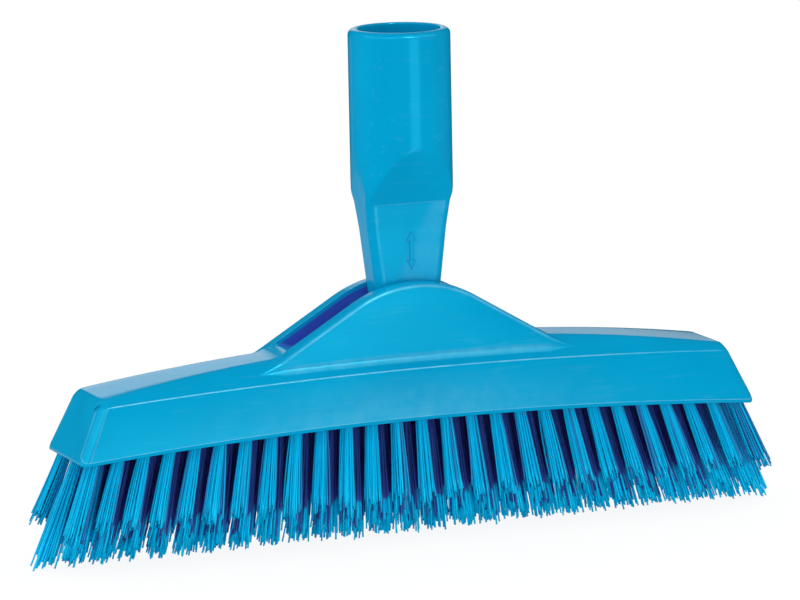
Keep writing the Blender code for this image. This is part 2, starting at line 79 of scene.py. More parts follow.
# %% A long lens, a little above the brush and to its left
CAMERA_PLACE = Vector((-0.640015, -1.582504, 0.371398))
CAMERA_AIM = Vector((0.36868589, 0.91350219, -0.17200135)).normalized()
CAMERA_ROLL = math.radians(-1.099)
FOCAL_LENGTH = 252.08
SENSOR_WIDTH = 36.0
FARTHEST_SEEN = 20.0


def add_object(name, data):
    """Puts a mesh, a light or a camera into the scene as an object."""
    thing = bpy.data.objects.new(name, data)
    bpy.context.scene.collection.objects.link(thing)
    return thing


lens = bpy.data.cameras.new("long_lens")
lens.lens = FOCAL_LENGTH
lens.sensor_width = SENSOR_WIDTH
lens.clip_end = FARTHEST_SEEN
camera = add_object("camera", lens)
level_right = CAMERA_AIM.cross(Vector((0, 0, 1))).normalized()
level_up = level_right.cross(CAMERA_AIM)
right = level_right * math.cos(CAMERA_ROLL) + level_up * math.sin(CAMERA_ROLL)
up = level_up * math.cos(CAMERA_ROLL) - level_right * math.sin(CAMERA_ROLL)
turn = Matrix((right, up, -CAMERA_AIM)).transposed()
camera.matrix_world = Matrix.Translation(CAMERA_PLACE) @ turn.to_4x4()
bpy.context.scene.camera = camera
print("camera distance from the origin:", round(CAMERA_PLACE.length, 3), "m")

# %% [markdown]
# ## Shapes from arrays
#
# Each surface here is a grid of points: rows along one direction, columns round the other. One helper
# numbers the faces of such a grid, one makes a mesh of points and faces, and one rounds the corners of many
# outlines at once. Lengths are in millimetres, and heights start at the block's lower end corners, as in a
# drawing of such a brush.

# %% Grids, meshes and rounded outlines
MM = 0.001
BRISTLE_HEIGHT = 33.5
WELD_DISTANCE = 0.000001
SHORTEST_EDGE = 0.0000005
NEARLY_ZERO = 1e-9
WIDEST_HALF_TURN = 1.5


def grid_faces(rows, columns, closed=False):
    """Quads of a grid of points numbered row by row. A closed grid joins its last column to its first."""
    index = np.arange(rows * columns).reshape(rows, columns)
    if closed:
        index = np.hstack([index, index[:, :1]])
    return np.stack([index[:-1, :-1], index[:-1, 1:], index[1:, 1:], index[1:, :-1]], axis=-1).reshape(-1, 4)


def tube_faces(rings, count):
    """Quads of a closed grid, and a many-sided face on either end; the second one is turned round."""
    ring = np.arange(count)[None]
    return [grid_faces(rings, count, closed=True), ring, ring[:, ::-1] + (rings - 1) * count]


def as_points(x, y, z):
    """One list of points from grids of x, y and z; a single row or column serves the whole grid."""
    return np.stack(np.broadcast_arrays(x, y, z), axis=-1).reshape(-1, 3)


def make_piece(name, points, face_groups, material, body, slot, nodes=(), weld=False, values=None):
    """Puts points, in millimetres above the block's corners, and groups of equal-sided faces into one piece.

    values are named numbers, one for each point, which the piece's material can read as attributes.
    """
    mesh = bpy.data.meshes.new(name)
    place = (points + (0, 0, BRISTLE_HEIGHT)) * MM
    sides = np.concatenate([np.full(len(group), group.shape[1]) for group in face_groups])
    corners = np.concatenate([group.ravel() for group in face_groups])
    mesh.vertices.add(len(place))
    mesh.vertices.foreach_set("co", place.ravel().astype(np.float32))
    mesh.loops.add(len(corners))
    mesh.loops.foreach_set("vertex_index", corners.astype(np.int32))
    mesh.polygons.add(len(sides))
    mesh.polygons.foreach_set("loop_start", (np.cumsum(sides) - sides).astype(np.int32))
    mesh.update(calc_edges=True)
    for value_name, numbers in (values or {}).items():
        attribute = mesh.attributes.new(value_name, "FLOAT", "POINT")
        attribute.data.foreach_set("value", numbers.ravel().astype(np.float32))
    if weld:
        weld_points(mesh)
    corner_counts = np.empty(len(mesh.polygons), np.int32)
    mesh.polygons.foreach_get("loop_total", corner_counts)
    mesh.shade_smooth()
    mesh.polygons.foreach_set("use_smooth", corner_counts <= 4)
    mesh.materials.append(material)
    piece = add_object(name, mesh)
    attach(piece, body)
    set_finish(piece, slot)
    if nodes:
        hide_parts(*nodes)
    return piece


def weld_points(mesh):
    """Merges points closer than a micrometre, which also clears faces that have shrunk to a line."""
    bm = bmesh.new()
    bm.from_mesh(mesh)
    bmesh.ops.remove_doubles(bm, verts=bm.verts, dist=WELD_DISTANCE)
    bmesh.ops.dissolve_degenerate(bm, edges=bm.edges, dist=SHORTEST_EDGE)
    bmesh.ops.recalc_face_normals(bm, faces=bm.faces)
    bm.to_mesh(mesh)
    bm.free()


def rounded(outlines, rules):
    """Rounds the corners of many outlines at once; outlines has the shape (how many, corners, 2).

    A corner that turns by an angle gets an arc that starts its radius times the tangent of half the angle
    before the corner, but never farther than its share of the side before or after it. The arc is a rational
    quadratic curve, whose middle weight is the cosine of half the angle: that makes it an exact piece of a
    circle. A rule is a corner's radius, its share of the side before and after it, and its steps.
    """
    rows = [outlines[:, :1]]
    for corner, (radius, share_before, share_after, steps) in enumerate(rules, 1):
        middle = outlines[:, corner]
        back = outlines[:, corner - 1] - middle
        ahead = outlines[:, corner + 1] - middle
        back_length = np.linalg.norm(back, axis=1)
        ahead_length = np.linalg.norm(ahead, axis=1)
        back /= np.maximum(back_length, NEARLY_ZERO)[:, None]
        ahead /= np.maximum(ahead_length, NEARLY_ZERO)[:, None]
        half_turn = np.arccos(np.clip(-(back * ahead).sum(1), -1, 1)) / 2
        reach = np.minimum(radius * np.tan(np.minimum(half_turn, WIDEST_HALF_TURN)),
                           np.minimum(share_before * back_length, share_after * ahead_length))
        start = (middle + back * reach[:, None])[:, None]
        end = (middle + ahead * reach[:, None])[:, None]
        t = np.linspace(0, 1, steps + 1)[None, :, None]
        weight = 2 * t * (1 - t) * np.cos(half_turn)[:, None, None]
        rows.append(((1 - t) ** 2 * start + weight * middle[:, None] + t ** 2 * end)
                    / ((1 - t) ** 2 + weight + t ** 2))
    rows.append(outlines[:, -1:])
    return np.concatenate(rows, axis=1)


def soft_max(a, b, width):
    """The larger of two values, blended: max + h² · width / 4, with h = 1 − |a − b| / width."""
    near = np.maximum(width - np.abs(a - b), 0) / width
    return np.maximum(a, b) + near ** 2 * width / 4


def soft_min(a, b, width):
    """The smaller of two values, blended over a difference of width."""
    return -soft_max(-a, -b, width)


def ease(t):
    """Rises from 0 to 1 with a level start and end: t² (3 − 2t)."""
    t = np.clip(t, 0, 1)
    return t * t * (3 - 2 * t)


print("ten rows of six points have", len(grid_faces(10, 6)), "faces")

# %% [markdown]
# ## Materials in a few words
#
# A material is a chain of small nodes. The same few come again and again: noise, a stretched place, a change
# of range, a sum. So each kind gets a helper that adds the node, feeds it with values or with other nodes'
# outputs, and hands back its output.

# %% Helpers that each add one node
def add_node(tree, kind, inputs=None, **settings):
    """Adds a node with its settings, and feeds its named or numbered inputs."""
    node = tree.nodes.new("ShaderNode" + kind)
    for name, value in settings.items():
        setattr(node, name, value)
    feed(tree, node, inputs or {})
    return node


def feed(tree, node, inputs):
    """Links each listed input to another node's output, or sets the input's own value."""
    for name, value in inputs.items():
        if isinstance(value, bpy.types.NodeSocket):
            tree.links.new(value, node.inputs[name])
        else:
            node.inputs[name].default_value = value


def new_material(name):
    """A material, its tree, its shader, and the place on the piece in Object coordinates."""
    material = bpy.data.materials.new(name)
    material.use_nodes = True
    tree = material.node_tree
    return material, tree, tree.nodes["Principled BSDF"], add_node(tree, "TexCoord").outputs["Object"]


def noise(tree, place, scale, detail=2.0, distortion=0.0):
    """Cloudy noise between 0 and 1; the larger the scale, the finer it is."""
    inputs = {"Vector": place, "Scale": scale, "Detail": detail, "Distortion": distortion}
    return add_node(tree, "TexNoise", inputs).outputs["Fac"]


def stretched(tree, place, scale, rotation=(0.0, 0.0, 0.0)):
    """The place turned and stretched, so that noise on it becomes lines."""
    inputs = {"Vector": place, "Scale": scale, "Rotation": rotation}
    return add_node(tree, "Mapping", inputs).outputs["Vector"]


def in_range(tree, value, low, high, from_low=0.0, from_high=1.0):
    """Carries a value from one range to another."""
    inputs = {"Value": value, "From Min": from_low, "From Max": from_high, "To Min": low, "To Max": high}
    return add_node(tree, "MapRange", inputs).outputs["Result"]


def worked_out(tree, operation, *terms, use_clamp=False):
    """A sum, a product or the like of two or three terms."""
    node = add_node(tree, "Math", dict(enumerate(terms)), operation=operation, use_clamp=use_clamp)
    return node.outputs["Value"]


def stored(tree, name):
    """A number stored on the piece's points."""
    return add_node(tree, "Attribute", attribute_name=name).outputs["Fac"]


def mixed(tree, share, color, other):
    """A colour with a share of another."""
    return add_node(tree, "Mix", {0: share, 6: color, 7: other}, data_type="RGBA").outputs[2]


def color_ramp(tree, value, *stops):
    """The colour between stops of (position, colour)."""
    node = add_node(tree, "ValToRGB", {"Fac": value})
    stop_list = node.color_ramp.elements
    for number, (position, color) in enumerate(stops):
        stop = stop_list[number] if number < 2 else stop_list.new(position)
        stop.position, stop.color = position, color
    return node.outputs["Color"]


def bumped(tree, height, strength, distance):
    """The normal, tilted as a relief of this height would tilt it."""
    inputs = {"Height": height, "Strength": strength, "Distance": distance}
    return add_node(tree, "Bump", inputs).outputs["Normal"]


print("node helpers:", [helper.__name__ for helper in (noise, stretched, in_range, mixed, bumped)])

# %% [markdown]
# ## The plastic
#
# Both mouldings are the same food-grade polypropylene in a clear sky blue. Such plastic isn't one flat
# colour: the melt leaves faint clouds and flow lines, the mould a satin gloss with tiny waves, and handling
# fine scuffs. A painted picture could show this too, but noise in the shader can't repeat. It reads Object
# coordinates, so it stays on the piece when that moves. Two numbers stored on the points paint light and
# shade: where highlights and soft reflections are painted paler, and where painted shade makes it a deeper,
# more violet blue.

# %% Clouded blue polypropylene
PLASTIC_BLUE = (0.0, 0.358, 0.662, 1.0)
DARK_CLOUD = (0.0, 0.93 * PLASTIC_BLUE[1], 0.93 * PLASTIC_BLUE[2], 1.0)
LIGHT_CLOUD = (0.0, 1.08 * PLASTIC_BLUE[1], 1.04 * PLASTIC_BLUE[2], 1.0)
# The first of the next two colours is painted shade; the second is painted highlight, and also the colour of
# real scuffs.
PAINTED_SHADE_BLUE = (0.045, 0.1, 0.56, 1.0)
HIGHLIGHT_AND_SCUFF_BLUE = (0.24, 0.57, 0.77, 1.0)
GLOSS_TINT = (0.07, 0.85, 1.0, 1.0)
PLASTIC_IOR = 1.46
CLOUD_SCALE, HIGHLIGHT_NOISE_SCALE, SPECKLE_SCALE, WAVE_SCALE = 26.0, 210.0, 900.0, 160.0
SCUFF_STRETCH, SCUFF_TURN = (70.0, 500.0, 700.0), (0.0, 0.45, 0.2)
ROUGHNESS_RANGE = (0.12, 0.22)


def make_plastic(name, flow_stretch):
    """Satin plastic: clouds and flow lines in the colour, speckle in the gloss, fine waves as bump."""
    material, tree, shader, place = new_material(name)
    clouds = noise(tree, place, CLOUD_SCALE, detail=3.0)
    flow = noise(tree, stretched(tree, place, flow_stretch), 1.0, detail=4.0, distortion=0.6)
    melt = worked_out(tree, "MULTIPLY", clouds, flow)
    color = color_ramp(tree, melt, (0.12, DARK_CLOUD), (0.42, LIGHT_CLOUD))

    # Painted shade: a share of a deeper, violet blue where the points hold it.
    color = mixed(tree, stored(tree, "painted_shade"), color, PAINTED_SHADE_BLUE)
    # Painted highlights, made uneven by noise, and real scuffs from stretched noise mix in a paler blue.
    uneven = in_range(tree, noise(tree, place, HIGHLIGHT_NOISE_SCALE, detail=4.0), 0.5, 1.4, 0.3, 0.7)
    streaks = noise(tree, stretched(tree, place, SCUFF_STRETCH, SCUFF_TURN), 1.0)
    scuffs = in_range(tree, streaks, 0.0, 0.06, 0.6, 0.78)
    highlight_and_scuffs = worked_out(tree, "MULTIPLY_ADD", stored(tree, "painted_highlight"), uneven, scuffs)
    color = mixed(tree, highlight_and_scuffs, color, HIGHLIGHT_AND_SCUFF_BLUE)

    gloss = in_range(tree, noise(tree, place, SPECKLE_SCALE), *ROUGHNESS_RANGE)
    waves = bumped(tree, noise(tree, place, WAVE_SCALE, detail=3.0), 0.05, 0.0004)
    feed(tree, shader, {"Base Color": color, "Roughness": gloss, "Normal": waves,
                        "IOR": PLASTIC_IOR, "Specular Tint": GLOSS_TINT})
    return material


block_plastic = make_plastic("block_polypropylene", (9.0, 60.0, 60.0))
socket_plastic = make_plastic("socket_polypropylene", (60.0, 60.0, 9.0))
print("materials:", block_plastic.name, socket_plastic.name)

# %% [markdown]
# ## The brush block
#
# The real block is one thick moulding: an arched bar with sloped sides, two humped cheeks for the pivot, and
# a slot between them. It could be made from a box with cuts and bevels, but the bevels would pinch where the
# cheeks grow out of the slopes. So it is a loft: at every station along the block the section is one outline
# of straight sides, whose heights follow smooth formulas, with each corner rounded.

# %% Heights of the block as formulas
BLOCK_HALF = 113.0
END_LEAN = 9.1
LEAN_START = 60.0
ARCH_RISE = 4.9
SHOULDER_END, SHOULDER_RISE = 17.3, 3.5
SHOULDER_LEAN_SHARE = 0.9
TOP_END, TOP_RISE = 19.3, 8.8
TOP_SPAN = 104.0
SHOULDER_HALF = 14.1
WEDGE_SLOPE = math.tan(math.radians(43.5))
CREST_HEIGHT = 46.8
CREST_RADIUS = 38.5
FLANK_ANGLE = math.radians(30.7)
TOP_BLEND, TOE_BLEND, RAMP_BLEND = 1.5, 1.2, 1.0
SLOT_HALF = 6.0
PIVOT_HEIGHT = 33.0
WELL_RADIUS = 12.1
RAMP_ANGLE = math.radians(10.7)


def end_lean(x):
    """How far the top of a station is set back from its foot: nothing in the middle, all of it at the end."""
    return np.sign(x) * END_LEAN * np.clip((np.abs(x) - LEAN_START) / (BLOCK_HALF - LEAN_START), 0, 1)


def bottom_height(x):
    """The arched underside: a parabola, highest in the middle."""
    return ARCH_RISE * (1 - (x / BLOCK_HALF) ** 2)


def shoulder_height(x):
    """The line where the side ends, measured where the leaning end has brought it."""
    return SHOULDER_END + SHOULDER_RISE * (1 - ((x - SHOULDER_LEAN_SHARE * end_lean(x)) / TOP_SPAN) ** 2)


def top_height(x):
    """The flat top, arched more than the shoulder, so that the slope above it widens to the middle."""
    return TOP_END + TOP_RISE * (1 - ((x - end_lean(x)) / TOP_SPAN) ** 2)


def top_half_width(x):
    """Half the width of the flat top: what the slopes above both shoulders leave."""
    return SHOULDER_HALF - (top_height(x) - shoulder_height(x)) / WEDGE_SLOPE


def cheek_height(x):
    """The cheeks from the side: a round crest, and straight flanks that touch it."""
    crest_end = CREST_RADIUS * math.sin(FLANK_ANGLE)
    crest = CREST_HEIGHT - CREST_RADIUS + np.sqrt(CREST_RADIUS ** 2 - np.minimum(np.abs(x), crest_end) ** 2)
    return crest - np.maximum(np.abs(x) - crest_end, 0) * math.tan(FLANK_ANGLE)


def upper_height(x, y):
    """The upper surface: the cheeks or the block, whichever is higher, with hollow toes where they meet."""
    slope = shoulder_height(x) + (SHOULDER_HALF - np.abs(y)) * WEDGE_SLOPE
    return soft_max(cheek_height(x), soft_min(top_height(x), slope, TOP_BLEND), TOE_BLEND)


def slot_floor(x):
    """The slot's floor: a round well under the tongue, and ramps that run out of it as tangents."""
    touch = WELL_RADIUS * math.sin(RAMP_ANGLE)
    well = PIVOT_HEIGHT - np.sqrt(WELL_RADIUS ** 2 - np.minimum(np.abs(x), touch) ** 2)
    ramp = well + np.maximum(np.abs(x) - touch, 0) * math.tan(RAMP_ANGLE)
    return soft_min(ramp, upper_height(x, SLOT_HALF), RAMP_BLEND)


middle_heights = [height(0.0) for height in (bottom_height, top_height, cheek_height)]
print("heights at the middle:", np.round(middle_heights, 1))

# %% [markdown]
# The stations lie close together where the shape changes fast: at the cheeks' toes, and round the ends,
# where they follow the sine of an angle. Each outline runs over the foot, the side, the shoulder and the
# cheek, across the cheek's rounded crown, and down into the slot.

# %% The outlines along the block
PLAN_CORNER = 3.6
TOE_START, TOE_END = 38.0, 54.0
BOTTOM_HALF = 16.6
FOOT_BEVEL = 0.3
PARTING_HEIGHT = 1.3
CHEEK_OUTSIDE = 11.3
CHEEK_END, CHEEK_RUN_OUT = 52.0, 10.0
CROWN_HALF = 7.3
CROWN_STEPS = (1.1, 0.85, 0.6, 0.4, 0.2, 0.0, -0.2, -0.4, -0.6, -0.85, -1.1)
UNDERSIDE_RULES = [(0.5, 0.5, 0.3, 4), (0.6, 0.3, 0.3, 4), (1.0, 0.3, 0.35, 6)]
SLOPE_RULES = [(4.8, 0.55, 0.5, 8), (1.7, 0.5, 0.9, 8)]
CROWN_RULES = [(0.5, 0.3, 0.3, 0)] * len(CROWN_STEPS)
SLOT_RULES = [(0.6, 0.6, 0.7, 5), (0.5, 0.3, 0.3, 0), (0.5, 0.3, 0.3, 0), (0.6, 0.5, 0.5, 4)]

end_angles = np.radians(np.linspace(0, 90, 25)[1:])
straight_end = BLOCK_HALF - PLAN_CORNER
half_stations = np.concatenate([
    np.linspace(0, TOE_START, 49)[:-1], np.linspace(TOE_START, TOE_END, 55)[:-1],
    np.linspace(TOE_END, straight_end, 27), straight_end + PLAN_CORNER * np.sin(end_angles)])
stations = np.concatenate([-half_stations[:0:-1], half_stations])


def block_outlines(x):
    """Half outlines, from the middle of the underside round to the middle of the top or the slot's floor."""
    bottom, shoulder = bottom_height(x), shoulder_height(x)
    past_cheek = ease((np.abs(x) - CHEEK_END) / CHEEK_RUN_OUT)
    column = CHEEK_OUTSIDE * (1 - past_cheek) + (SHOULDER_HALF + top_half_width(x)) / 2 * past_cheek
    wedge = shoulder + (SHOULDER_HALF - column) * WEDGE_SLOPE
    crown = np.maximum(top_half_width(x), CROWN_HALF)
    corners = [
        (0, bottom), (BOTTOM_HALF - FOOT_BEVEL, bottom), (BOTTOM_HALF, bottom + PARTING_HEIGHT),
        (SHOULDER_HALF, shoulder), (column, wedge), (column, np.maximum(upper_height(x, column), wedge))]
    corners += [(crown + step, upper_height(x, crown + step)) for step in CROWN_STEPS]
    mouth = upper_height(x, SLOT_HALF)
    depth = mouth - slot_floor(x)
    drops = (0, np.minimum(0.9, 0.3 * depth), np.minimum(1.8, 0.5 * depth), depth)
    corners += [(SLOT_HALF, mouth - drop) for drop in drops] + [(0, slot_floor(x))]
    outlines = np.stack([np.stack(np.broadcast_arrays(*corner), axis=-1) for corner in corners], axis=1)
    return rounded(outlines, UNDERSIDE_RULES + SLOPE_RULES + CROWN_RULES + SLOT_RULES)


half = block_outlines(stations)
ring_size = 2 * half.shape[1] - 2
ring_y = np.concatenate([half[..., 0], -half[:, -2:0:-1, 0]], axis=1)
ring_z = np.concatenate([half[..., 1], half[:, -2:0:-1, 1]], axis=1)
print("block:", len(stations), "stations of", ring_size, "points")

# %% [markdown]
# Near an end every outline is drawn in from the sides and from above and below by what a quarter circle
# leaves, and the last one is closed flat. Then the ends are leaned back. A bevel would do the same on a
# plain box, but here the corner has three different roundings that run into each other.

# %% Rounded and leaning ends
TOP_END_ROUNDING = 1.6
FOOT_END_ROUNDING = 2.6
ROUNDING_DEPTH, ROUNDING_WIDTH = 6.0, 10.0


def quarter_circle(rounding):
    """How far a quarter circle at each end has turned away: its radius less the square root that is left."""
    way = np.clip(np.abs(stations) - (BLOCK_HALF - rounding), 0, rounding)
    return (rounding - np.sqrt(rounding ** 2 - way ** 2))[:, None]


low, high = ring_z.min(axis=1)[:, None], ring_z.max(axis=1)[:, None]
middle = (low + high) / 2
above = np.clip((ring_z - middle) / ROUNDING_DEPTH, 0, 1)
below = np.clip((middle - ring_z) / ROUNDING_DEPTH, 0, 1)
ring_z = ring_z - above * quarter_circle(TOP_END_ROUNDING) + below * quarter_circle(FOOT_END_ROUNDING)
ring_y = ring_y - np.clip(ring_y / ROUNDING_WIDTH, -1, 1) * quarter_circle(PLAN_CORNER)
rise = np.clip((ring_z - low) / (top_height(stations) - bottom_height(stations))[:, None], 0, 1)
ring_x = stations[:, None] - rise * end_lean(stations)[:, None]
block_points = as_points(ring_x, ring_y, ring_z)
print("block length:", round(float(np.ptp(ring_x)), 1), "mm")

# %% [markdown]
# Highlights along the edges and a soft reflection on the front are painted paler, and the inside of the slot,
# which little white light reaches, gets painted shade. Both could be painted on a picture, but they follow the
# shape. So each point gets two numbers, from its place round the outline and its station: how much painted
# highlight it gets, and how much painted shade.

# %% Painted highlights on the edges and painted shade in the slot
# Painted highlights along the lip, the shoulder, the cheeks' foot and crest, the slot's mouth and the left
# end's corner: how much for each place round the outline.
LIP_HIGHLIGHT = {7: 0.4, 8: 0.75, 9: 0.4}
SHOULDER_HIGHLIGHT = {12: 0.15, 13: 0.45, 14: 0.75, 15: 0.45, 16: 0.15}
CHEEK_HIGHLIGHTS = {20: 0.08, 21: 0.16, 22: 0.22, 23: 0.22, 24: 0.16, 25: 0.08, 28: 0.1, 29: 0.3, 30: 0.3, 31: 0.1,
             48: 0.1, 49: 0.35, 50: 0.35, 51: 0.1}
CORNER_HIGHLIGHT = {place: 1.0 for place in range(10, 15)}
FRONT_REFLECTION = {10: 1.0}
CORNER_LINES = ((8, 8), (80, 10))
CORNER_SHARE = 0.26
REFLECTION_SHARE, REFLECTION_PLACE, REFLECTION_LENGTH = 0.16, -8, 50.0
SLOT_END = 60.0
FLOOR_SHARE = 0.35
DEEP_FROM, DEEP_OVER = 0.8, 0.9


def round_the_outline(highlight_table):
    """One value for each point round the outline: what the table gives, and nothing elsewhere."""
    numbers = np.zeros(ring_size)
    numbers[list(highlight_table)] = list(highlight_table.values())
    return numbers


from_end = BLOCK_HALF - np.abs(stations)
not_on_cap = from_end > 0.001
turned_by = np.degrees(np.arcsin(np.clip(1 - from_end / PLAN_CORNER, 0, 1)))
corner_line = sum(np.maximum(1 - np.abs(turned_by - at) / over, 0) for at, over in CORNER_LINES)
corner_line *= CORNER_SHARE * (stations < 0)
# Painted reflection: a soft paler patch on the front near the middle.
reflection_along = REFLECTION_SHARE * np.exp(-((stations - REFLECTION_PLACE) / REFLECTION_LENGTH) ** 2)
toward_right = 1 - 0.7 * ease((stations - 45.0) / 50)
on_shoulder = ease((from_end - 4.0) / 2) * toward_right
on_cheek = ease((50.0 - np.abs(stations)) / 12)
along_and_round = ((not_on_cap, LIP_HIGHLIGHT), (on_shoulder, SHOULDER_HIGHLIGHT), (on_cheek, CHEEK_HIGHLIGHTS),
                   (corner_line, CORNER_HIGHLIGHT), (reflection_along, FRONT_REFLECTION))
painted_highlight = sum(along[:, None] * round_the_outline(highlight_table) for along, highlight_table in along_and_round)
both_sides = (ring_size - np.arange(ring_size)) % ring_size
painted_highlight = np.maximum(painted_highlight, painted_highlight[:, both_sides])

# Painted shade: the slot's walls, and less of its floor, turn a deeper blue below its mouth.
slot_depth = upper_height(stations, SLOT_HALF)[:, None] - ring_z
in_slot = (np.abs(ring_y) < SLOT_HALF + 0.01) & (np.abs(stations) < SLOT_END)[:, None] & (ring_z > middle)
on_wall = np.where(np.abs(ring_y) > SLOT_HALF - 0.5, 1.0, FLOOR_SHARE)
painted_shade = ease((slot_depth - DEEP_FROM) / DEEP_OVER) * in_slot * on_wall
block = make_piece(
    "block_moulding", block_points, tube_faces(len(stations), ring_size), block_plastic,
    "block", "moulded_block", ["brush_block"], weld=True,
    values={"painted_highlight": painted_highlight, "painted_shade": painted_shade})
print("block:", len(block.data.polygons), "faces")

# %% [markdown]
# The hole for the cross pin is drilled from the back and stops inside the front cheek, so nothing shows in
# front. A hole is the one feature that a loft does badly, so it is cut with a Boolean, which is applied at
# once.

# %% The blind pin hole
PIN_HOLE_RADIUS = 3.2
HOLE_STOP, HOLE_MOUTH = -9.5, 14.0
HOLE_SIDES = 48


def turned(profile, sides):
    """Points of a profile of (radius, place along Y) turned about Y: radius times cosine and sine."""
    angle = np.arange(sides) * 2 * math.pi / sides
    radius, along = profile[:, :1], profile[:, 1:]
    return as_points(radius * np.cos(angle), along, radius * np.sin(angle))


def cut(piece, name, points, face_groups):
    """Cuts a closed shape out of a piece with an exact Boolean, applies it and removes the cutter."""
    cutter = make_piece(name, points, face_groups, piece.data.materials[0], piece["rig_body"],
                        piece["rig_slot"], weld=True)
    modifier = piece.modifiers.new("hole", "BOOLEAN")
    modifier.object = cutter
    modifier.solver = "EXACT"
    evaluated = piece.evaluated_get(bpy.context.evaluated_depsgraph_get())
    carved = bpy.data.meshes.new_from_object(evaluated)
    piece.modifiers.clear()
    piece.data = carved
    bpy.data.objects.remove(cutter)
    print(piece.name, "now has", len(carved.polygons), "faces")


hole_profile = np.array([
    [0.0, HOLE_STOP], [PIN_HOLE_RADIUS, HOLE_STOP], [PIN_HOLE_RADIUS, HOLE_MOUTH], [0.0, HOLE_MOUTH]])
hole_points = turned(hole_profile, HOLE_SIDES) + (0, 0, PIVOT_HEIGHT)
cut(block, "pin_drill", hole_points, [grid_faces(len(hole_profile), HOLE_SIDES, closed=True)])

# %% [markdown]
# ## The handle socket
#
# The second moulding carries the handle. From below it is a flat tongue, a neck that widens upwards, two
# sloped facets, and a round tube with a screw thread inside. It looks like a round bar pared flat from four
# sides, so that the flats run out in curves on the tube. Seen from above every level is one closed curve, so
# one formula for the distance from the axis gives the whole outside: the soft minimum of a circle and of a
# rectangle with round corners, whose sides lean outwards.

# %% The outside as one distance from the axis
TUBE_RADIUS = 15.8
RIM_HEIGHT = 124.7
RIM_ROUNDING = 1.9
NECK_TOP = 71.0
NECK_TOP_THICKNESS = 6.6
NECK_CORNER = 2.5
FACET_TOP = 88.5
TAPER_TOP = 146.0
FLARE_START, TONGUE_HALF = 63.0, 5.5
FOOT_HEIGHT = 30.0
FOOT_RADIUS = 8.5
WIDTH_LEVELS, WIDTHS = (FOOT_HEIGHT, 46.0, TAPER_TOP), (FOOT_RADIUS, 11.0, 23.4)
TUBE_BLEND = 0.5
SOCKET_SIDES = 208
LEVEL_RUNS = ((31.5, 62.0, 16), (62.5, 69.5, 12), (70.0, 90.0, 58), (92.0, RIM_HEIGHT - RIM_ROUNDING, 14))


def half_width(z):
    """A round foot, a straight widening to the cheeks' crest, then a taper that runs on past the tube."""
    foot = np.sqrt(np.maximum(FOOT_RADIUS ** 2 - np.minimum(z - FOOT_HEIGHT, 0) ** 2, 0.0001))
    return np.where(z < FOOT_HEIGHT, foot, np.interp(z, WIDTH_LEVELS, WIDTHS))


def half_thickness(z):
    """Even in the slot, a slight flare, then the two sloped facets, which run on until the tube is full."""
    slope = (TUBE_RADIUS - NECK_TOP_THICKNESS) / (FACET_TOP - NECK_TOP)
    past_tube = NECK_TOP_THICKNESS + (TAPER_TOP - NECK_TOP) * slope
    return np.interp(z, [FLARE_START, NECK_TOP, TAPER_TOP], [TONGUE_HALF, NECK_TOP_THICKNESS, past_tube])


def rectangle_reach(cos, sin, width, thickness, corner):
    """Distance along a ray to a rectangle with round corners.

    It is the nearer of two walls, width / cos or thickness / sin. But between the ends of the flats the ray
    meets the corner's circle: with its centre c and the ray's direction d, that is at
    c·d + √((c·d)² − c² + corner²).
    """
    cos, sin = np.maximum(np.abs(cos), 1e-6), np.maximum(np.abs(sin), 1e-6)
    flat_x, flat_y = width - corner, thickness - corner
    along = flat_x * cos + flat_y * sin
    round_part = along + np.sqrt(np.maximum(along ** 2 - flat_x ** 2 - flat_y ** 2 + corner ** 2, 0))
    walls = np.minimum(width / cos, thickness / sin)
    return np.where((walls * cos > flat_x) & (walls * sin > flat_y), round_part, walls)


def socket_outside(z):
    """Rings of the outside at heights z, with their points closer together at the rectangle's corners."""
    z = z[:, None]
    turn = (np.arange(SOCKET_SIDES) + 0.5) * 2 * math.pi / SOCKET_SIDES
    width, thickness = half_width(z), half_thickness(z)
    angle = np.arctan2(np.minimum(thickness, TUBE_RADIUS) * np.sin(turn),
                       np.minimum(width, TUBE_RADIUS) * np.cos(turn))
    cos, sin = np.cos(angle), np.sin(angle)
    corner = np.minimum(NECK_CORNER, 0.9 * np.minimum(width, thickness))
    reach = soft_min(rectangle_reach(cos, sin, width, thickness, corner), TUBE_RADIUS, TUBE_BLEND)
    return reach * cos, reach * sin, z + 0 * cos, angle


foot_angles = np.linspace(0.05, math.pi / 2, 12)
outside_heights = np.concatenate(
    [FOOT_HEIGHT - FOOT_RADIUS * np.cos(foot_angles)] + [np.linspace(*run) for run in LEVEL_RUNS])
outside_x, outside_y, outside_z, outside_angle = socket_outside(outside_heights)
print("outside:", len(outside_heights), "rings, widest", round(float(outside_x.max()), 2), "mm")

# %% [markdown]
# The wall turns over at the rim and goes down into the bore, where the moulding has a coarse round thread.
# On a helix, height and angle rise together, so the ridge stands wherever the height less the pitch times
# the turn is a whole number of pitches. It fades in and out, as a real thread does.

# %% The rim, the bore and its thread
BORE_RADIUS = 12.7
BORE_FLOOR = 88.7
MOUTH_CHAMFER = 0.5
THREAD_PITCH = 4.5
THREAD_RISE = 0.9
THREAD_WIDTH = 2.6
THREAD_LEAD, THREAD_FADE = 4.0, 3.0


def bore_radius(angle, z):
    """Bore radius less a ridge whose section is a squared cosine, repeated once a pitch."""
    half_pitch = THREAD_PITCH / 2
    from_ridge = np.mod(z - THREAD_PITCH * angle / (2 * math.pi) + half_pitch, THREAD_PITCH) - half_pitch
    ridge = np.cos(np.clip(from_ridge / THREAD_WIDTH, -0.5, 0.5) * math.pi) ** 2
    fade_in = ease((z - BORE_FLOOR - THREAD_LEAD) / THREAD_FADE)
    fade_out = ease((RIM_HEIGHT - THREAD_LEAD - z) / THREAD_FADE)
    return BORE_RADIUS - THREAD_RISE * ridge * fade_in * fade_out


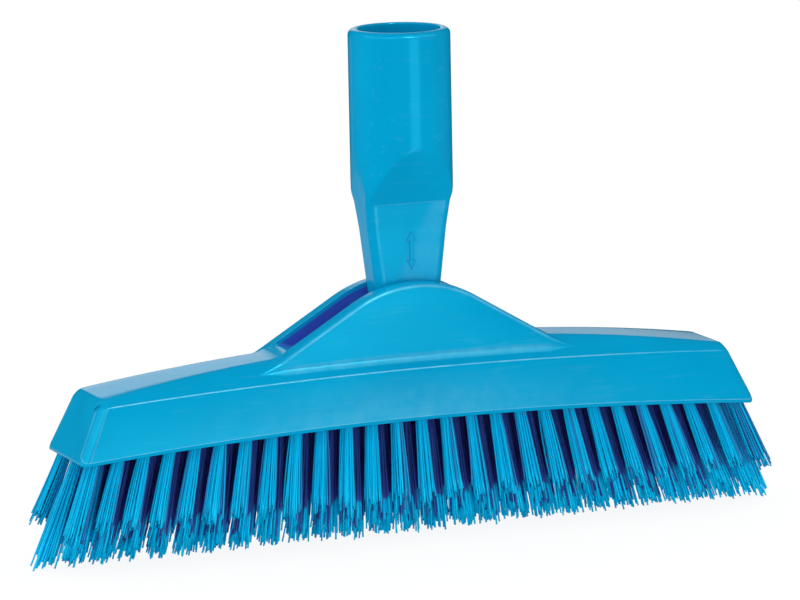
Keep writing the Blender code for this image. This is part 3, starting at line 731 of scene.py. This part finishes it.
rim_angles = np.linspace(0, math.pi / 2, 9)[1:]
mouth_angles = np.linspace(0, math.pi / 2, 5)
rim_radii = np.concatenate([
    TUBE_RADIUS - RIM_ROUNDING + RIM_ROUNDING * np.cos(rim_angles), [BORE_RADIUS + 0.9, BORE_RADIUS + 0.62],
    BORE_RADIUS + MOUTH_CHAMFER * (1 - np.sin(mouth_angles))])
rim_heights = np.concatenate([
    RIM_HEIGHT - RIM_ROUNDING + RIM_ROUNDING * np.sin(rim_angles), [RIM_HEIGHT, RIM_HEIGHT - 0.02],
    RIM_HEIGHT - 0.05 - MOUTH_CHAMFER * (1 - np.cos(mouth_angles))])
bore_heights = np.linspace(RIM_HEIGHT - 1.2, BORE_FLOOR + 0.6, 116)
floor_radii = np.array([12.6, 12.3, 11.9, 8.0, 3.0])
floor_heights = BORE_FLOOR + np.array([0.3, 0.1, 0.0, 0.0, 0.0])
angle = outside_angle[-1:]
threaded = bore_radius(angle, bore_heights[:, None])
inner_radius = np.concatenate([rim_radii[:, None] + 0 * angle, threaded, floor_radii[:, None] + 0 * angle])
inner_height = np.concatenate([rim_heights, bore_heights, floor_heights])[:, None] + 0 * angle
socket_x = np.concatenate([outside_x, inner_radius * np.cos(angle)])
socket_y = np.concatenate([outside_y, inner_radius * np.sin(angle)])
socket_z = np.concatenate([outside_z, inner_height])
socket_points = as_points(socket_x, socket_y, socket_z)
print("bore:", len(bore_heights), "rings, pitches:", round((RIM_HEIGHT - BORE_FLOOR) / THREAD_PITCH, 1))

# %% [markdown]
# Painted highlights draw a thin pale frame round the flat panel on each broad side of the neck and a
# line along its top, a soft painted reflection lies on part of the panel, and painted shade darkens the bore
# as light fades on its way down. As on the block, these are numbers on the points.

# %% Painted highlights on the neck's panel and painted shade in the bore
NECK_FROM, FACE_FROM = 46.0, 4.5
FRAME_HALF_WIDTH = 0.5
FRAME_HIGHLIGHT, TOP_EDGE_HIGHLIGHT, SLANT_REFLECTION = 0.14, 0.1, 0.08
SLANT_SLOPE, SLANT_LEVEL = 0.48, 56.2
BORE_SHADE, BORE_FADE = 0.4, 30.0

# Painted highlights: a pale line beside each side edge of the panel and along its top, and a painted
# reflection on the panel past a slanted line.
panel_edge = half_width(socket_z) - NECK_CORNER - 0.1
beside_edge = np.maximum(1 - np.abs(np.abs(socket_x) - panel_edge) / FRAME_HALF_WIDTH, 0)
on_face = np.abs(socket_y) > FACE_FROM
on_panel = np.abs(socket_x) < panel_edge
on_neck = (socket_z > NECK_FROM) & (socket_z < NECK_TOP) & on_face
across_top = (np.abs(socket_z - NECK_TOP) < 0.2) & on_panel & on_face
past_slant = np.where(socket_y < 0, socket_x, -socket_x) - SLANT_SLOPE * (socket_z - SLANT_LEVEL)
reflection_patch = ease((past_slant + 1.5) / 4) * on_panel * on_neck
panel_highlights = FRAME_HIGHLIGHT * beside_edge * on_neck + TOP_EDGE_HIGHLIGHT * across_top + SLANT_REFLECTION * reflection_patch
# Painted shade: the bore grows darker towards its floor.
in_bore = (np.hypot(socket_x, socket_y) < BORE_RADIUS + 0.1) & (socket_z > BORE_FLOOR - 1)
bore_shade = BORE_SHADE * ease((RIM_HEIGHT - socket_z) / BORE_FADE) * in_bore

half_ring = np.arange(SOCKET_SIDES // 2 - 1)
foot_cap = np.stack([
    half_ring, half_ring + 1, SOCKET_SIDES - 2 - half_ring, SOCKET_SIDES - 1 - half_ring], axis=1)
floor_cap = np.arange(SOCKET_SIDES)[None] + (len(socket_x) - 1) * SOCKET_SIDES
socket = make_piece(
    "socket_moulding", socket_points,
    [grid_faces(len(socket_x), SOCKET_SIDES, closed=True), foot_cap, floor_cap],
    socket_plastic, "neck", "moulded_socket", ["handle_socket"], weld=True,
    values={"painted_highlight": panel_highlights, "painted_shade": bore_shade})
print("socket:", len(socket_x), "rings of", SOCKET_SIDES, "points")

# %% [markdown]
# The tongue's pin hole is longer than it is wide, which lets the neck slide down to lock and up to tilt. Its
# outline is two half circles joined by straight sides. A round cutter moved along would do as well, but one
# outline needs only one cut.

# %% The long hole
LOCK_TRAVEL = 5.0
LONG_HOLE_SIDES = 64
LONG_HOLE_DEPTHS = (-9.0, 9.0)


def long_hole_outline(radius, travel, count):
    """Two half circles, one of them lower by the travel."""
    turn = np.arange(count) * 2 * math.pi / count
    drop = np.where(np.sin(turn) < -1e-6, travel, 0.0)
    return radius * np.cos(turn), radius * np.sin(turn) - drop


hole_x, hole_z = long_hole_outline(PIN_HOLE_RADIUS, LOCK_TRAVEL, LONG_HOLE_SIDES)
hole_points = as_points(hole_x, np.array(LONG_HOLE_DEPTHS)[:, None], hole_z + PIVOT_HEIGHT)
cut(socket, "slide_slot", hole_points, tube_faces(len(LONG_HOLE_DEPTHS), LONG_HOLE_SIDES))

# %% [markdown]
# ## The double arrow
#
# A raised arrow with two heads tells the user to pull and push the neck. It stands a third of a millimetre
# proud on each broad side. It could be painted with bump alone, but raised edges catch the light, so it is a
# thin piece of its own, whose outline is drawn in a little towards its face.

# %% Raised arrows on both sides of the neck
ARROW_CENTRE = 56.2
ARROW_ASIDE = 0.5
ARROW_HALF = 5.8
ARROW_RELIEF = 0.35
HEAD_LENGTH, HEAD_HALF, BARB_NOTCH = 2.9, 1.5, 0.35
SHAFT_HALF = 0.55
# The last number of each layer is painted shade: the three lowest layers, round the arrow's foot, are painted
# a deeper blue.
ARROW_LAYERS = ((-0.16, -0.2, 0.75), (-0.16, 0.03, 0.75), (0.0, 0.05, 0.75),
                (0.0, 0.6 * ARROW_RELIEF, 0.0), (0.1, ARROW_RELIEF, 0.0))


def arrow_outline(shrink):
    """A double arrow, clockwise from its upper tip, drawn in by shrink on every side."""
    tip, barb = ARROW_HALF - 2.1 * shrink, ARROW_HALF - HEAD_LENGTH + 0.9 * shrink
    head, shaft = HEAD_HALF - 1.6 * shrink, SHAFT_HALF - shrink
    right = [(0, tip), (head, barb), (shaft, barb + BARB_NOTCH)]
    right += [(x, -z) for x, z in reversed(right)]
    return np.array(right + [(-x, z) for x, z in reversed(right[1:-1])], float)


shrinks, heights, arrow_shades = np.transpose(ARROW_LAYERS)
arrow_layers = np.stack([arrow_outline(shrink) for shrink in shrinks])
arrow_corners = arrow_layers.shape[1]
for side, name in ((-1, "arrow_front"), (1, "arrow_back")):
    depths = side * (TONGUE_HALF + heights[:, None])
    points = as_points(arrow_layers[..., 0] + ARROW_ASIDE, depths, arrow_layers[..., 1] + ARROW_CENTRE)
    arrow = make_piece(
        name, points, tube_faces(len(ARROW_LAYERS), arrow_corners), socket_plastic,
        "neck", "moulded_socket", weld=True, values={"painted_shade": np.repeat(arrow_shades, arrow_corners)})
    arrow.data.shade_flat()
print("arrow length:", 2 * ARROW_HALF, "mm")

# %% [markdown]
# ## The pivot pin
#
# A plain steel cross pin, 6 mm across. It shows only from the back, but a part that can be taken apart needs
# it. It is turned from a profile, with small chamfers that help it in, and its steel is brushed round the
# axis.

# %% The turned pin
PIN_RADIUS = 3.0
PIN_FACE = 2.3
PIN_CHAMFER = 0.45
PIN_ENDS = (-9.2, 10.8)
PIN_SIDES = 64
STEEL_GREY = (0.6, 0.61, 0.63, 1.0)
BRUSH_STRETCH = (40.0, 2500.0, 40.0)


def make_steel():
    """Brushed steel: noise stretched round the pin makes fine lines in the gloss and the bump."""
    material, tree, shader, place = new_material("pin_steel")
    grain = noise(tree, stretched(tree, place, BRUSH_STRETCH), 5.0, detail=3.0)
    feed(tree, shader, {
        "Roughness": in_range(tree, grain, 0.2, 0.42), "Normal": bumped(tree, grain, 0.15, 0.0001),
        "Base Color": STEEL_GREY, "Metallic": 1.0})
    return material


pin_low, pin_high = PIN_ENDS
chamfer = np.array([
    [0.0, 0.0], [PIN_FACE, 0.0], [PIN_RADIUS - PIN_CHAMFER, 0.0], [PIN_RADIUS - 0.35, 0.08],
    [PIN_RADIUS - 0.05, 0.38], [PIN_RADIUS, 0.5], [PIN_RADIUS, 1.0]])
pin_profile = np.concatenate([
    chamfer + (0.0, pin_low), (chamfer * (1, -1) + (0.0, pin_high))[::-1]])
pin_points = turned(pin_profile, PIN_SIDES) + (0, 0, PIVOT_HEIGHT)
pin_faces = [grid_faces(len(pin_profile), PIN_SIDES, closed=True)]
make_piece("cross_pin", pin_points, pin_faces, make_steel(), "pivot", "pin_steel", ["pivot_pin"], weld=True)
print("pin length:", round(pin_high - pin_low, 1), "mm")

# %% [markdown]
# ## The bristles
#
# Each tuft is a bunch of nearly straight polyester filaments, 0.6 mm thick, folded in the middle and stapled
# into a drilled hole. The end tufts lean outwards and the outer rows lean to their sides. The tips are
# trimmed to a V, but the cut is ragged. Hair tools could grow them, but plain tubes can be measured and
# exported. All filaments of one imported node are one array: filament × point along it × point round it.
#
# Such filaments carry light to their cut ends, as glass fibres do, so the inner rows' tips stay bright in
# the shade. That light isn't traced: the tips are painted lighter, more so in the inner rows, and the inner
# rows' tips give off a weak painted glow.

# %% Filament material: its own tone, painted tip light, painted shade and a painted glow
# The first two colours are the filaments' own tones, the third is painted light at the tips, and the fourth,
# below, is painted shade.
DULL_FILAMENT, CLEAR_FILAMENT, PAINTED_LIT_TIP = (0.0, 0.38, 0.73, 1), (0.0, 0.54, 0.88, 1), (0.01, 0.62, 0.9, 1)
SHADED_FILAMENT = (0.045, 0.045, 0.34, 1)
FILAMENT_GLOSS_TINT = (0.05, 0.7, 1.0, 1.0)
SHADE_EDGE_SHARPNESS = 900.0


def make_bristle():
    """Blue filament: tone and painted tip light shift its colour, noise runs along it, its root gets painted
    shade, its tips a painted glow.
    """
    material, tree, shader, place = new_material("bristle_filament")
    streaks = noise(tree, place, 420.0)
    tone_with_tip_light = worked_out(tree, "MULTIPLY_ADD", streaks, 0.15, stored(tree, "tone_and_tip_light"))
    color = color_ramp(tree, tone_with_tip_light, (0.05, DULL_FILAMENT), (0.65, CLEAR_FILAMENT), (0.95, PAINTED_LIT_TIP))
    # Painted shade: above each filament's stored height, a share of shaded navy.
    height = add_node(tree, "SeparateXYZ", {0: place}).outputs["Z"]
    above_edge = worked_out(tree, "SUBTRACT", height, stored(tree, "shade_edge"))
    over_edge = worked_out(tree, "MULTIPLY", above_edge, SHADE_EDGE_SHARPNESS, use_clamp=True)
    shaded = worked_out(tree, "MULTIPLY", over_edge, stored(tree, "painted_shade"))
    color = mixed(tree, shaded, color, SHADED_FILAMENT)
    # The stored glow is painted light: the tips give off a little of their own colour.
    feed(tree, shader, {
        "Base Color": color, "Emission Color": color, "Emission Strength": stored(tree, "painted_tip_glow"),
        "Roughness": in_range(tree, streaks, 0.3, 0.5), "Specular Tint": FILAMENT_GLOSS_TINT})
    return material


bristle = make_bristle()
print("material:", bristle.name)

# %% [markdown]
# The roots of a tuft are spread evenly over its round hole by the sunflower rule: each next filament turns
# by the golden angle, and its distance from the middle grows with the square root of its number. From there
# each filament runs along the tuft's own lean with a slight bow, and the tuft widens to its tips. A few are
# bent, and a few are longer than the rest. The random numbers start from a fixed seed, so the brush is
# always the same.

# %% Filaments as arrays
TUFT_PITCH = 8.2
ROW_PITCH = 6.0
ROWS = {"front": -2, "front_inner": -1, "middle": 0, "back_inner": 1, "back": 2}
OUTER = 2
FILAMENTS = 50
FILAMENT_RADIUS = 0.3
FILAMENT_SIDES = 5
THICKNESS_RANGE = (0.9, 1.08)
TUFT_RADII = (1.95, 1.95, 1.7)
END_TUFT_RADIUS, END_TUFTS_FROM = 2.15, 100
WAY = np.array([0.0, 0.3, 0.55, 0.7, 0.85, 1.0])
ROOT_DEPTH = 1.5
FAN_RATES, FAN_SPREAD = (0.031, 0.026, 0.027), 0.2
OUTER_SIDE_FAN = 0.5
END_LEAN_SLOPE = 0.425
SIDE_LEAN_SLOPE, SIDE_LEAN_SPREAD = 0.194, 0.008
TIP_HEIGHTS = (-33.2, -28.8, -20.8)
TIP_RAGGED = (4.6, 5.0, 4.8)
LONG_SHARE, LONG_RANGE = 0.05, (1.0, 3.2)
LEFT_END_FROM, LEFT_END_LONGER = -103, 3.5
BENT_SHARE, BENT_LEAN, STRAIGHT_LEAN = 0.02, 0.06, 0.007
BOW = 0.16
GOLDEN_ANGLE = math.pi * (3 - math.sqrt(5))
ANY_TURN = (0, 6.28)


def tuft_places(row):
    """Places along the block of a row's tufts: 27 in every other row, 26 half a pitch over in the others."""
    count = 27 - abs(row) % 2
    return (np.arange(count) - (count - 1) / 2) * TUFT_PITCH


def tuft_runs(row):
    """The row's tufts in nine runs of three, with the short run in the middle where a tuft is missing."""
    sizes = np.full(9, 3)
    sizes[4] -= 27 - len(tuft_places(row))
    return np.split(tuft_places(row), np.cumsum(sizes)[:-1])


def trimmed_tips(x, row, chance):
    """Heights of the tips: the V's height for the row, a ragged cut, a few long ones, and a long left end."""
    count = len(x)
    trim = TIP_HEIGHTS[abs(row)] + chance.uniform(0, TIP_RAGGED[abs(row)], count)
    is_long = chance.uniform(0, 1, count) < LONG_SHARE
    trim = np.where(is_long, trim - chance.uniform(*LONG_RANGE, count) * (abs(row) > 0), trim)
    trim = trim - chance.uniform(0, LEFT_END_LONGER, count) * (abs(row) == OUTER) * (x < LEFT_END_FROM)
    return np.maximum(trim, -BRISTLE_HEIGHT + 0.05)


def filament_lines(places, row, chance):
    """Points along every filament of a run: root + direction × way + bow × 4 · way · (1 − way)."""
    count = len(places) * FILAMENTS
    number = np.tile(np.arange(FILAMENTS), len(places))
    x = np.repeat(places, FILAMENTS)
    tuft_radius = np.where(np.abs(x) > END_TUFTS_FROM, END_TUFT_RADIUS, TUFT_RADII[abs(row)])
    away = tuft_radius * np.sqrt((number + 0.5) / FILAMENTS)
    spin = number * GOLDEN_ANGLE + np.repeat(chance.uniform(*ANY_TURN, len(places)), FILAMENTS)
    root_x, root_y = away * np.cos(spin), away * np.sin(spin)
    floor = bottom_height(x)
    drop = floor - trimmed_tips(x, row, chance)
    unruly = np.where(chance.uniform(0, 1, count) < BENT_SHARE, BENT_LEAN, STRAIGHT_LEAN)
    lean_x = END_LEAN_SLOPE * x / BLOCK_HALF + chance.normal(0, 1, count) * unruly
    lean_y = SIDE_LEAN_SLOPE * row / 2 + chance.normal(0, SIDE_LEAN_SPREAD, count)
    fan = FAN_RATES[abs(row)] * drop * (1 + chance.normal(0, FAN_SPREAD, count))
    fan_y = fan * (OUTER_SIDE_FAN if abs(row) == OUTER else 1.0)
    bows = [*chance.normal(0, BOW, (2, count, 1)), 0]
    roots = (x + root_x, row * ROW_PITCH + root_y, floor + ROOT_DEPTH)
    ways = (lean_x * drop + fan * root_x, lean_y * drop + fan_y * root_y, -(drop + ROOT_DEPTH))
    return np.stack([root[:, None] + way[:, None] * WAY + bow * (WAY * (1 - WAY) * 4)
                     for root, way, bow in zip(roots, ways, bows)], axis=-1)


def filament_mesh(lines, chance):
    """Carries a small pentagon along each line and closes both ends."""
    count = len(lines)
    corner = np.arange(FILAMENT_SIDES) * 2 * math.pi / FILAMENT_SIDES + chance.uniform(*ANY_TURN, (count, 1))
    radius = FILAMENT_RADIUS * chance.uniform(*THICKNESS_RANGE, (count, 1))
    ring = np.stack([radius * np.cos(corner), radius * np.sin(corner), 0 * corner], axis=-1)
    points = (lines[:, :, None] + ring[:, None]).reshape(-1, 3)
    size = len(WAY) * FILAMENT_SIDES
    first = np.arange(count)[:, None, None] * size
    tube = grid_faces(len(WAY), FILAMENT_SIDES, closed=True)
    ends = np.stack([np.arange(FILAMENT_SIDES), size - 1 - np.arange(FILAMENT_SIDES)])
    return points, [(first + tube).reshape(-1, 4), (first + ends).reshape(-1, FILAMENT_SIDES)]


print("tufts:", [len(tuft_places(row)) for row in ROWS.values()])

# %% [markdown]
# In the gaps between the front tufts the inner rows are seen in deep shade, down to where light from the
# front reaches under the outer row's tips. A tuft's far side, away from the main light, is darker too.
# Traced light alone leaves both too bright, because white walls surround this brush on all sides. So both
# are painted shade: each filament is told how much painted shade it gets, and at what height that shade
# ends. A few filaments, picked at random, get painted shade as well.

# %% Painted shade and its edge, and the painted tip light and glow, of each filament
SHADE_RANGE = (0, 0.55)
TIP_LIGHT, TIP_LIGHT_LOSS = 0.4, 0.12
ROW_SHADE = (1.0, 0.95, 0.0)
SHADE_END, SHADE_FADE = 106, 6
LATE_SHARE, LATE_RANGE = 0.36, (3, 9)
EDGE_RANGE = (-0.5, 1.0)
PAINTED_TIP_GLOW = 0.12
DIM_SHARE, DIM_SHADE = 0.12, 0.6
FAR_SIDE_SHADE = 0.7


def filament_values(points, lines, places, row, chance):
    """The numbers that the material reads, one for each point: tone and painted tip light, painted shade,
    where that shade ends, and painted glow.
    """
    count, size = len(lines), len(WAY) * FILAMENT_SIDES
    outer = abs(row) == OUTER
    way = np.tile(np.repeat(WAY, FILAMENT_SIDES), count)
    # Painted tip light: the tips are painted lighter, more so in the inner rows.
    tip_light = (TIP_LIGHT - TIP_LIGHT_LOSS * abs(row)) * ease((way - 0.5) / 0.4)
    shade = np.repeat(chance.uniform(*SHADE_RANGE, count), size) + tip_light
    # Painted shade on the inner rows, hidden by the rows in front, fading out near the ends.
    behind_others = ROW_SHADE[abs(row)] * ease((SHADE_END - np.abs(points[:, 0])) / SHADE_FADE)
    late = chance.uniform(0, 1, count) < LATE_SHARE
    edge = BRISTLE_HEIGHT + TIP_HEIGHTS[OUTER] + chance.uniform(*EDGE_RANGE, count)
    edge = (edge - late * chance.uniform(*LATE_RANGE, count)) * (not outer)
    # Painted glow at the tips of the inner rows, except where the painted shade reaches lower.
    glow = PAINTED_TIP_GLOW * (not outer) * ease((way - 0.6) / 0.25) * np.repeat(~late, size)
    # Painted shade on each tuft's far side, away from the main light, and on a few filaments at random.
    off_lit_side = (lines[:, 0, 0] - np.repeat(places, FILAMENTS)) / TUFT_RADII[abs(row)]
    far_side = FAR_SIDE_SHADE * ease((off_lit_side - 0.55) / 0.35)
    dim = np.repeat(np.maximum((chance.uniform(0, 1, count) < DIM_SHARE) * DIM_SHADE, far_side), size)
    return {"tone_and_tip_light": shade, "painted_shade": np.maximum(behind_others, dim),
            "shade_edge": np.repeat(edge * MM, size), "painted_tip_glow": glow}


total = 0
for row_name, row in ROWS.items():
    for number, places in enumerate(tuft_runs(row), 1):
        chance = np.random.default_rng(1000 + 10 * (row + 2) + number)
        lines = filament_lines(places, row, chance)
        points, faces = filament_mesh(lines, chance)
        values = filament_values(points, lines, places, row, chance)
        make_piece(f"filaments_{row_name}_{number}", points, faces, bristle, "block", "bristle",
                   [f"tufts_{row_name}_{number}"], values=values)
        total += len(lines)
print("filaments:", total)

# %% [markdown]
# ## Floor and light
#
# Catalogue pictures are taken in a light tent and then cut out on white, so they show no shadow. Here the
# sky is the tent: it lights the brush evenly from all round, but doesn't show in its gloss. There a few
# cards of light show, as a photographer would set them up, each in its own direction. Three more cards only
# fill: they brighten surfaces from the front, the left and above. The floor is a white page that gives off
# most of its light itself and is left out of reflections and shadows.

# %% A white page to stand on
FLOOR_HALF = 6.0
WHITE = (1.0, 1.0, 1.0, 1.0)
PAGE_GREY = (0.12, 0.12, 0.12, 1)
PAGE_LIGHT = 0.9

floor_mesh = bpy.data.meshes.new("white_floor")
floor_corners = [(FLOOR_HALF * x, FLOOR_HALF * y, 0) for x, y in ((-1, -1), (1, -1), (1, 1), (-1, 1))]
floor_mesh.from_pydata(floor_corners, [], [(0, 1, 2, 3)])
floor = add_object("white_floor", floor_mesh)
paper = bpy.data.materials.new("white_page")
paper.use_nodes = True
feed(paper.node_tree, paper.node_tree.nodes["Principled BSDF"], {
    "Base Color": PAGE_GREY, "Roughness": 0.9, "Specular IOR Level": 0.0,
    "Emission Color": WHITE, "Emission Strength": PAGE_LIGHT})
floor_mesh.materials.append(paper)
floor.visible_glossy = floor.visible_diffuse = floor.visible_shadow = False
print("floor:", 2 * FLOOR_HALF, "m square")

# %% The tent and its cards of light
CARD_DISTANCE = 3.0
MIDDLE = Vector((0, 0, 0.08))
TENT_LIGHT = 0.84
GLOSS_CARDS = {
    "key_card": (12, 26, 22, 8, 15.0),
    "arch_card": (10, 44, 110, 28, 2.4),
    "rim_card": (3, 42, 14, 18, 22.0),
    "strip_card": (12, -12, 22, 36, 2.5),
    "left_card": (-68, 28, 70, 36, 1.3),
    "back_card_left": (165, 13, 15, 18, 0.9),
    "back_card_right": (153, 10, 8, 18, 0.6),
    "table_card": (199, -18, 34, 10, 0.46),
    "edge_card": (195, -8, 14, 8, 0.12)}
FILL_CARDS = {
    "front_fill": (-20, -18, 50, 30, 0.9),
    "left_fill": (-90, 15, 40, 30, 1.0),
    "top_fill": (-40, 65, 40, 40, 0.5)}


def light_card(name, azimuth, elevation, width, height, radiance, fill=False):
    """A flat light, 3 m from the brush, in a direction given in degrees: azimuth from the front to the right.

    Its sides follow from the angles they fill, 2 · distance · tan(angle / 2), and its power is
    π · area · radiance. A fill card only lights the surfaces, and every other card only shows in their gloss.
    """
    around, up = math.radians(azimuth), math.radians(elevation)
    direction = Vector((math.sin(around) * math.cos(up), -math.cos(around) * math.cos(up), math.sin(up)))
    light = bpy.data.lights.new(name, "AREA")
    light.shape = "RECTANGLE"
    light.size = 2 * CARD_DISTANCE * math.tan(math.radians(width / 2))
    light.size_y = 2 * CARD_DISTANCE * math.tan(math.radians(height / 2))
    light.energy = math.pi * light.size * light.size_y * radiance
    lamp = add_object(name, light)
    lamp.location = MIDDLE + direction * CARD_DISTANCE
    lamp.rotation_euler = (-direction).to_track_quat("-Z", "Y").to_euler()
    lamp.visible_camera = False
    lamp.visible_diffuse, lamp.visible_glossy = fill, not fill
    return light.energy


powers = [light_card(name, *card) for name, card in GLOSS_CARDS.items()]
powers += [light_card(name, *card, fill=True) for name, card in FILL_CARDS.items()]
world = bpy.data.worlds.new("light_tent")
world.use_nodes = True
feed(world.node_tree, world.node_tree.nodes["Background"], {"Color": WHITE, "Strength": TENT_LIGHT})
bpy.context.scene.world = world
world.cycles_visibility.glossy = False
bpy.context.scene.view_settings.view_transform = "Standard"
print("cards:", [round(power, 1) for power in powers], "W")
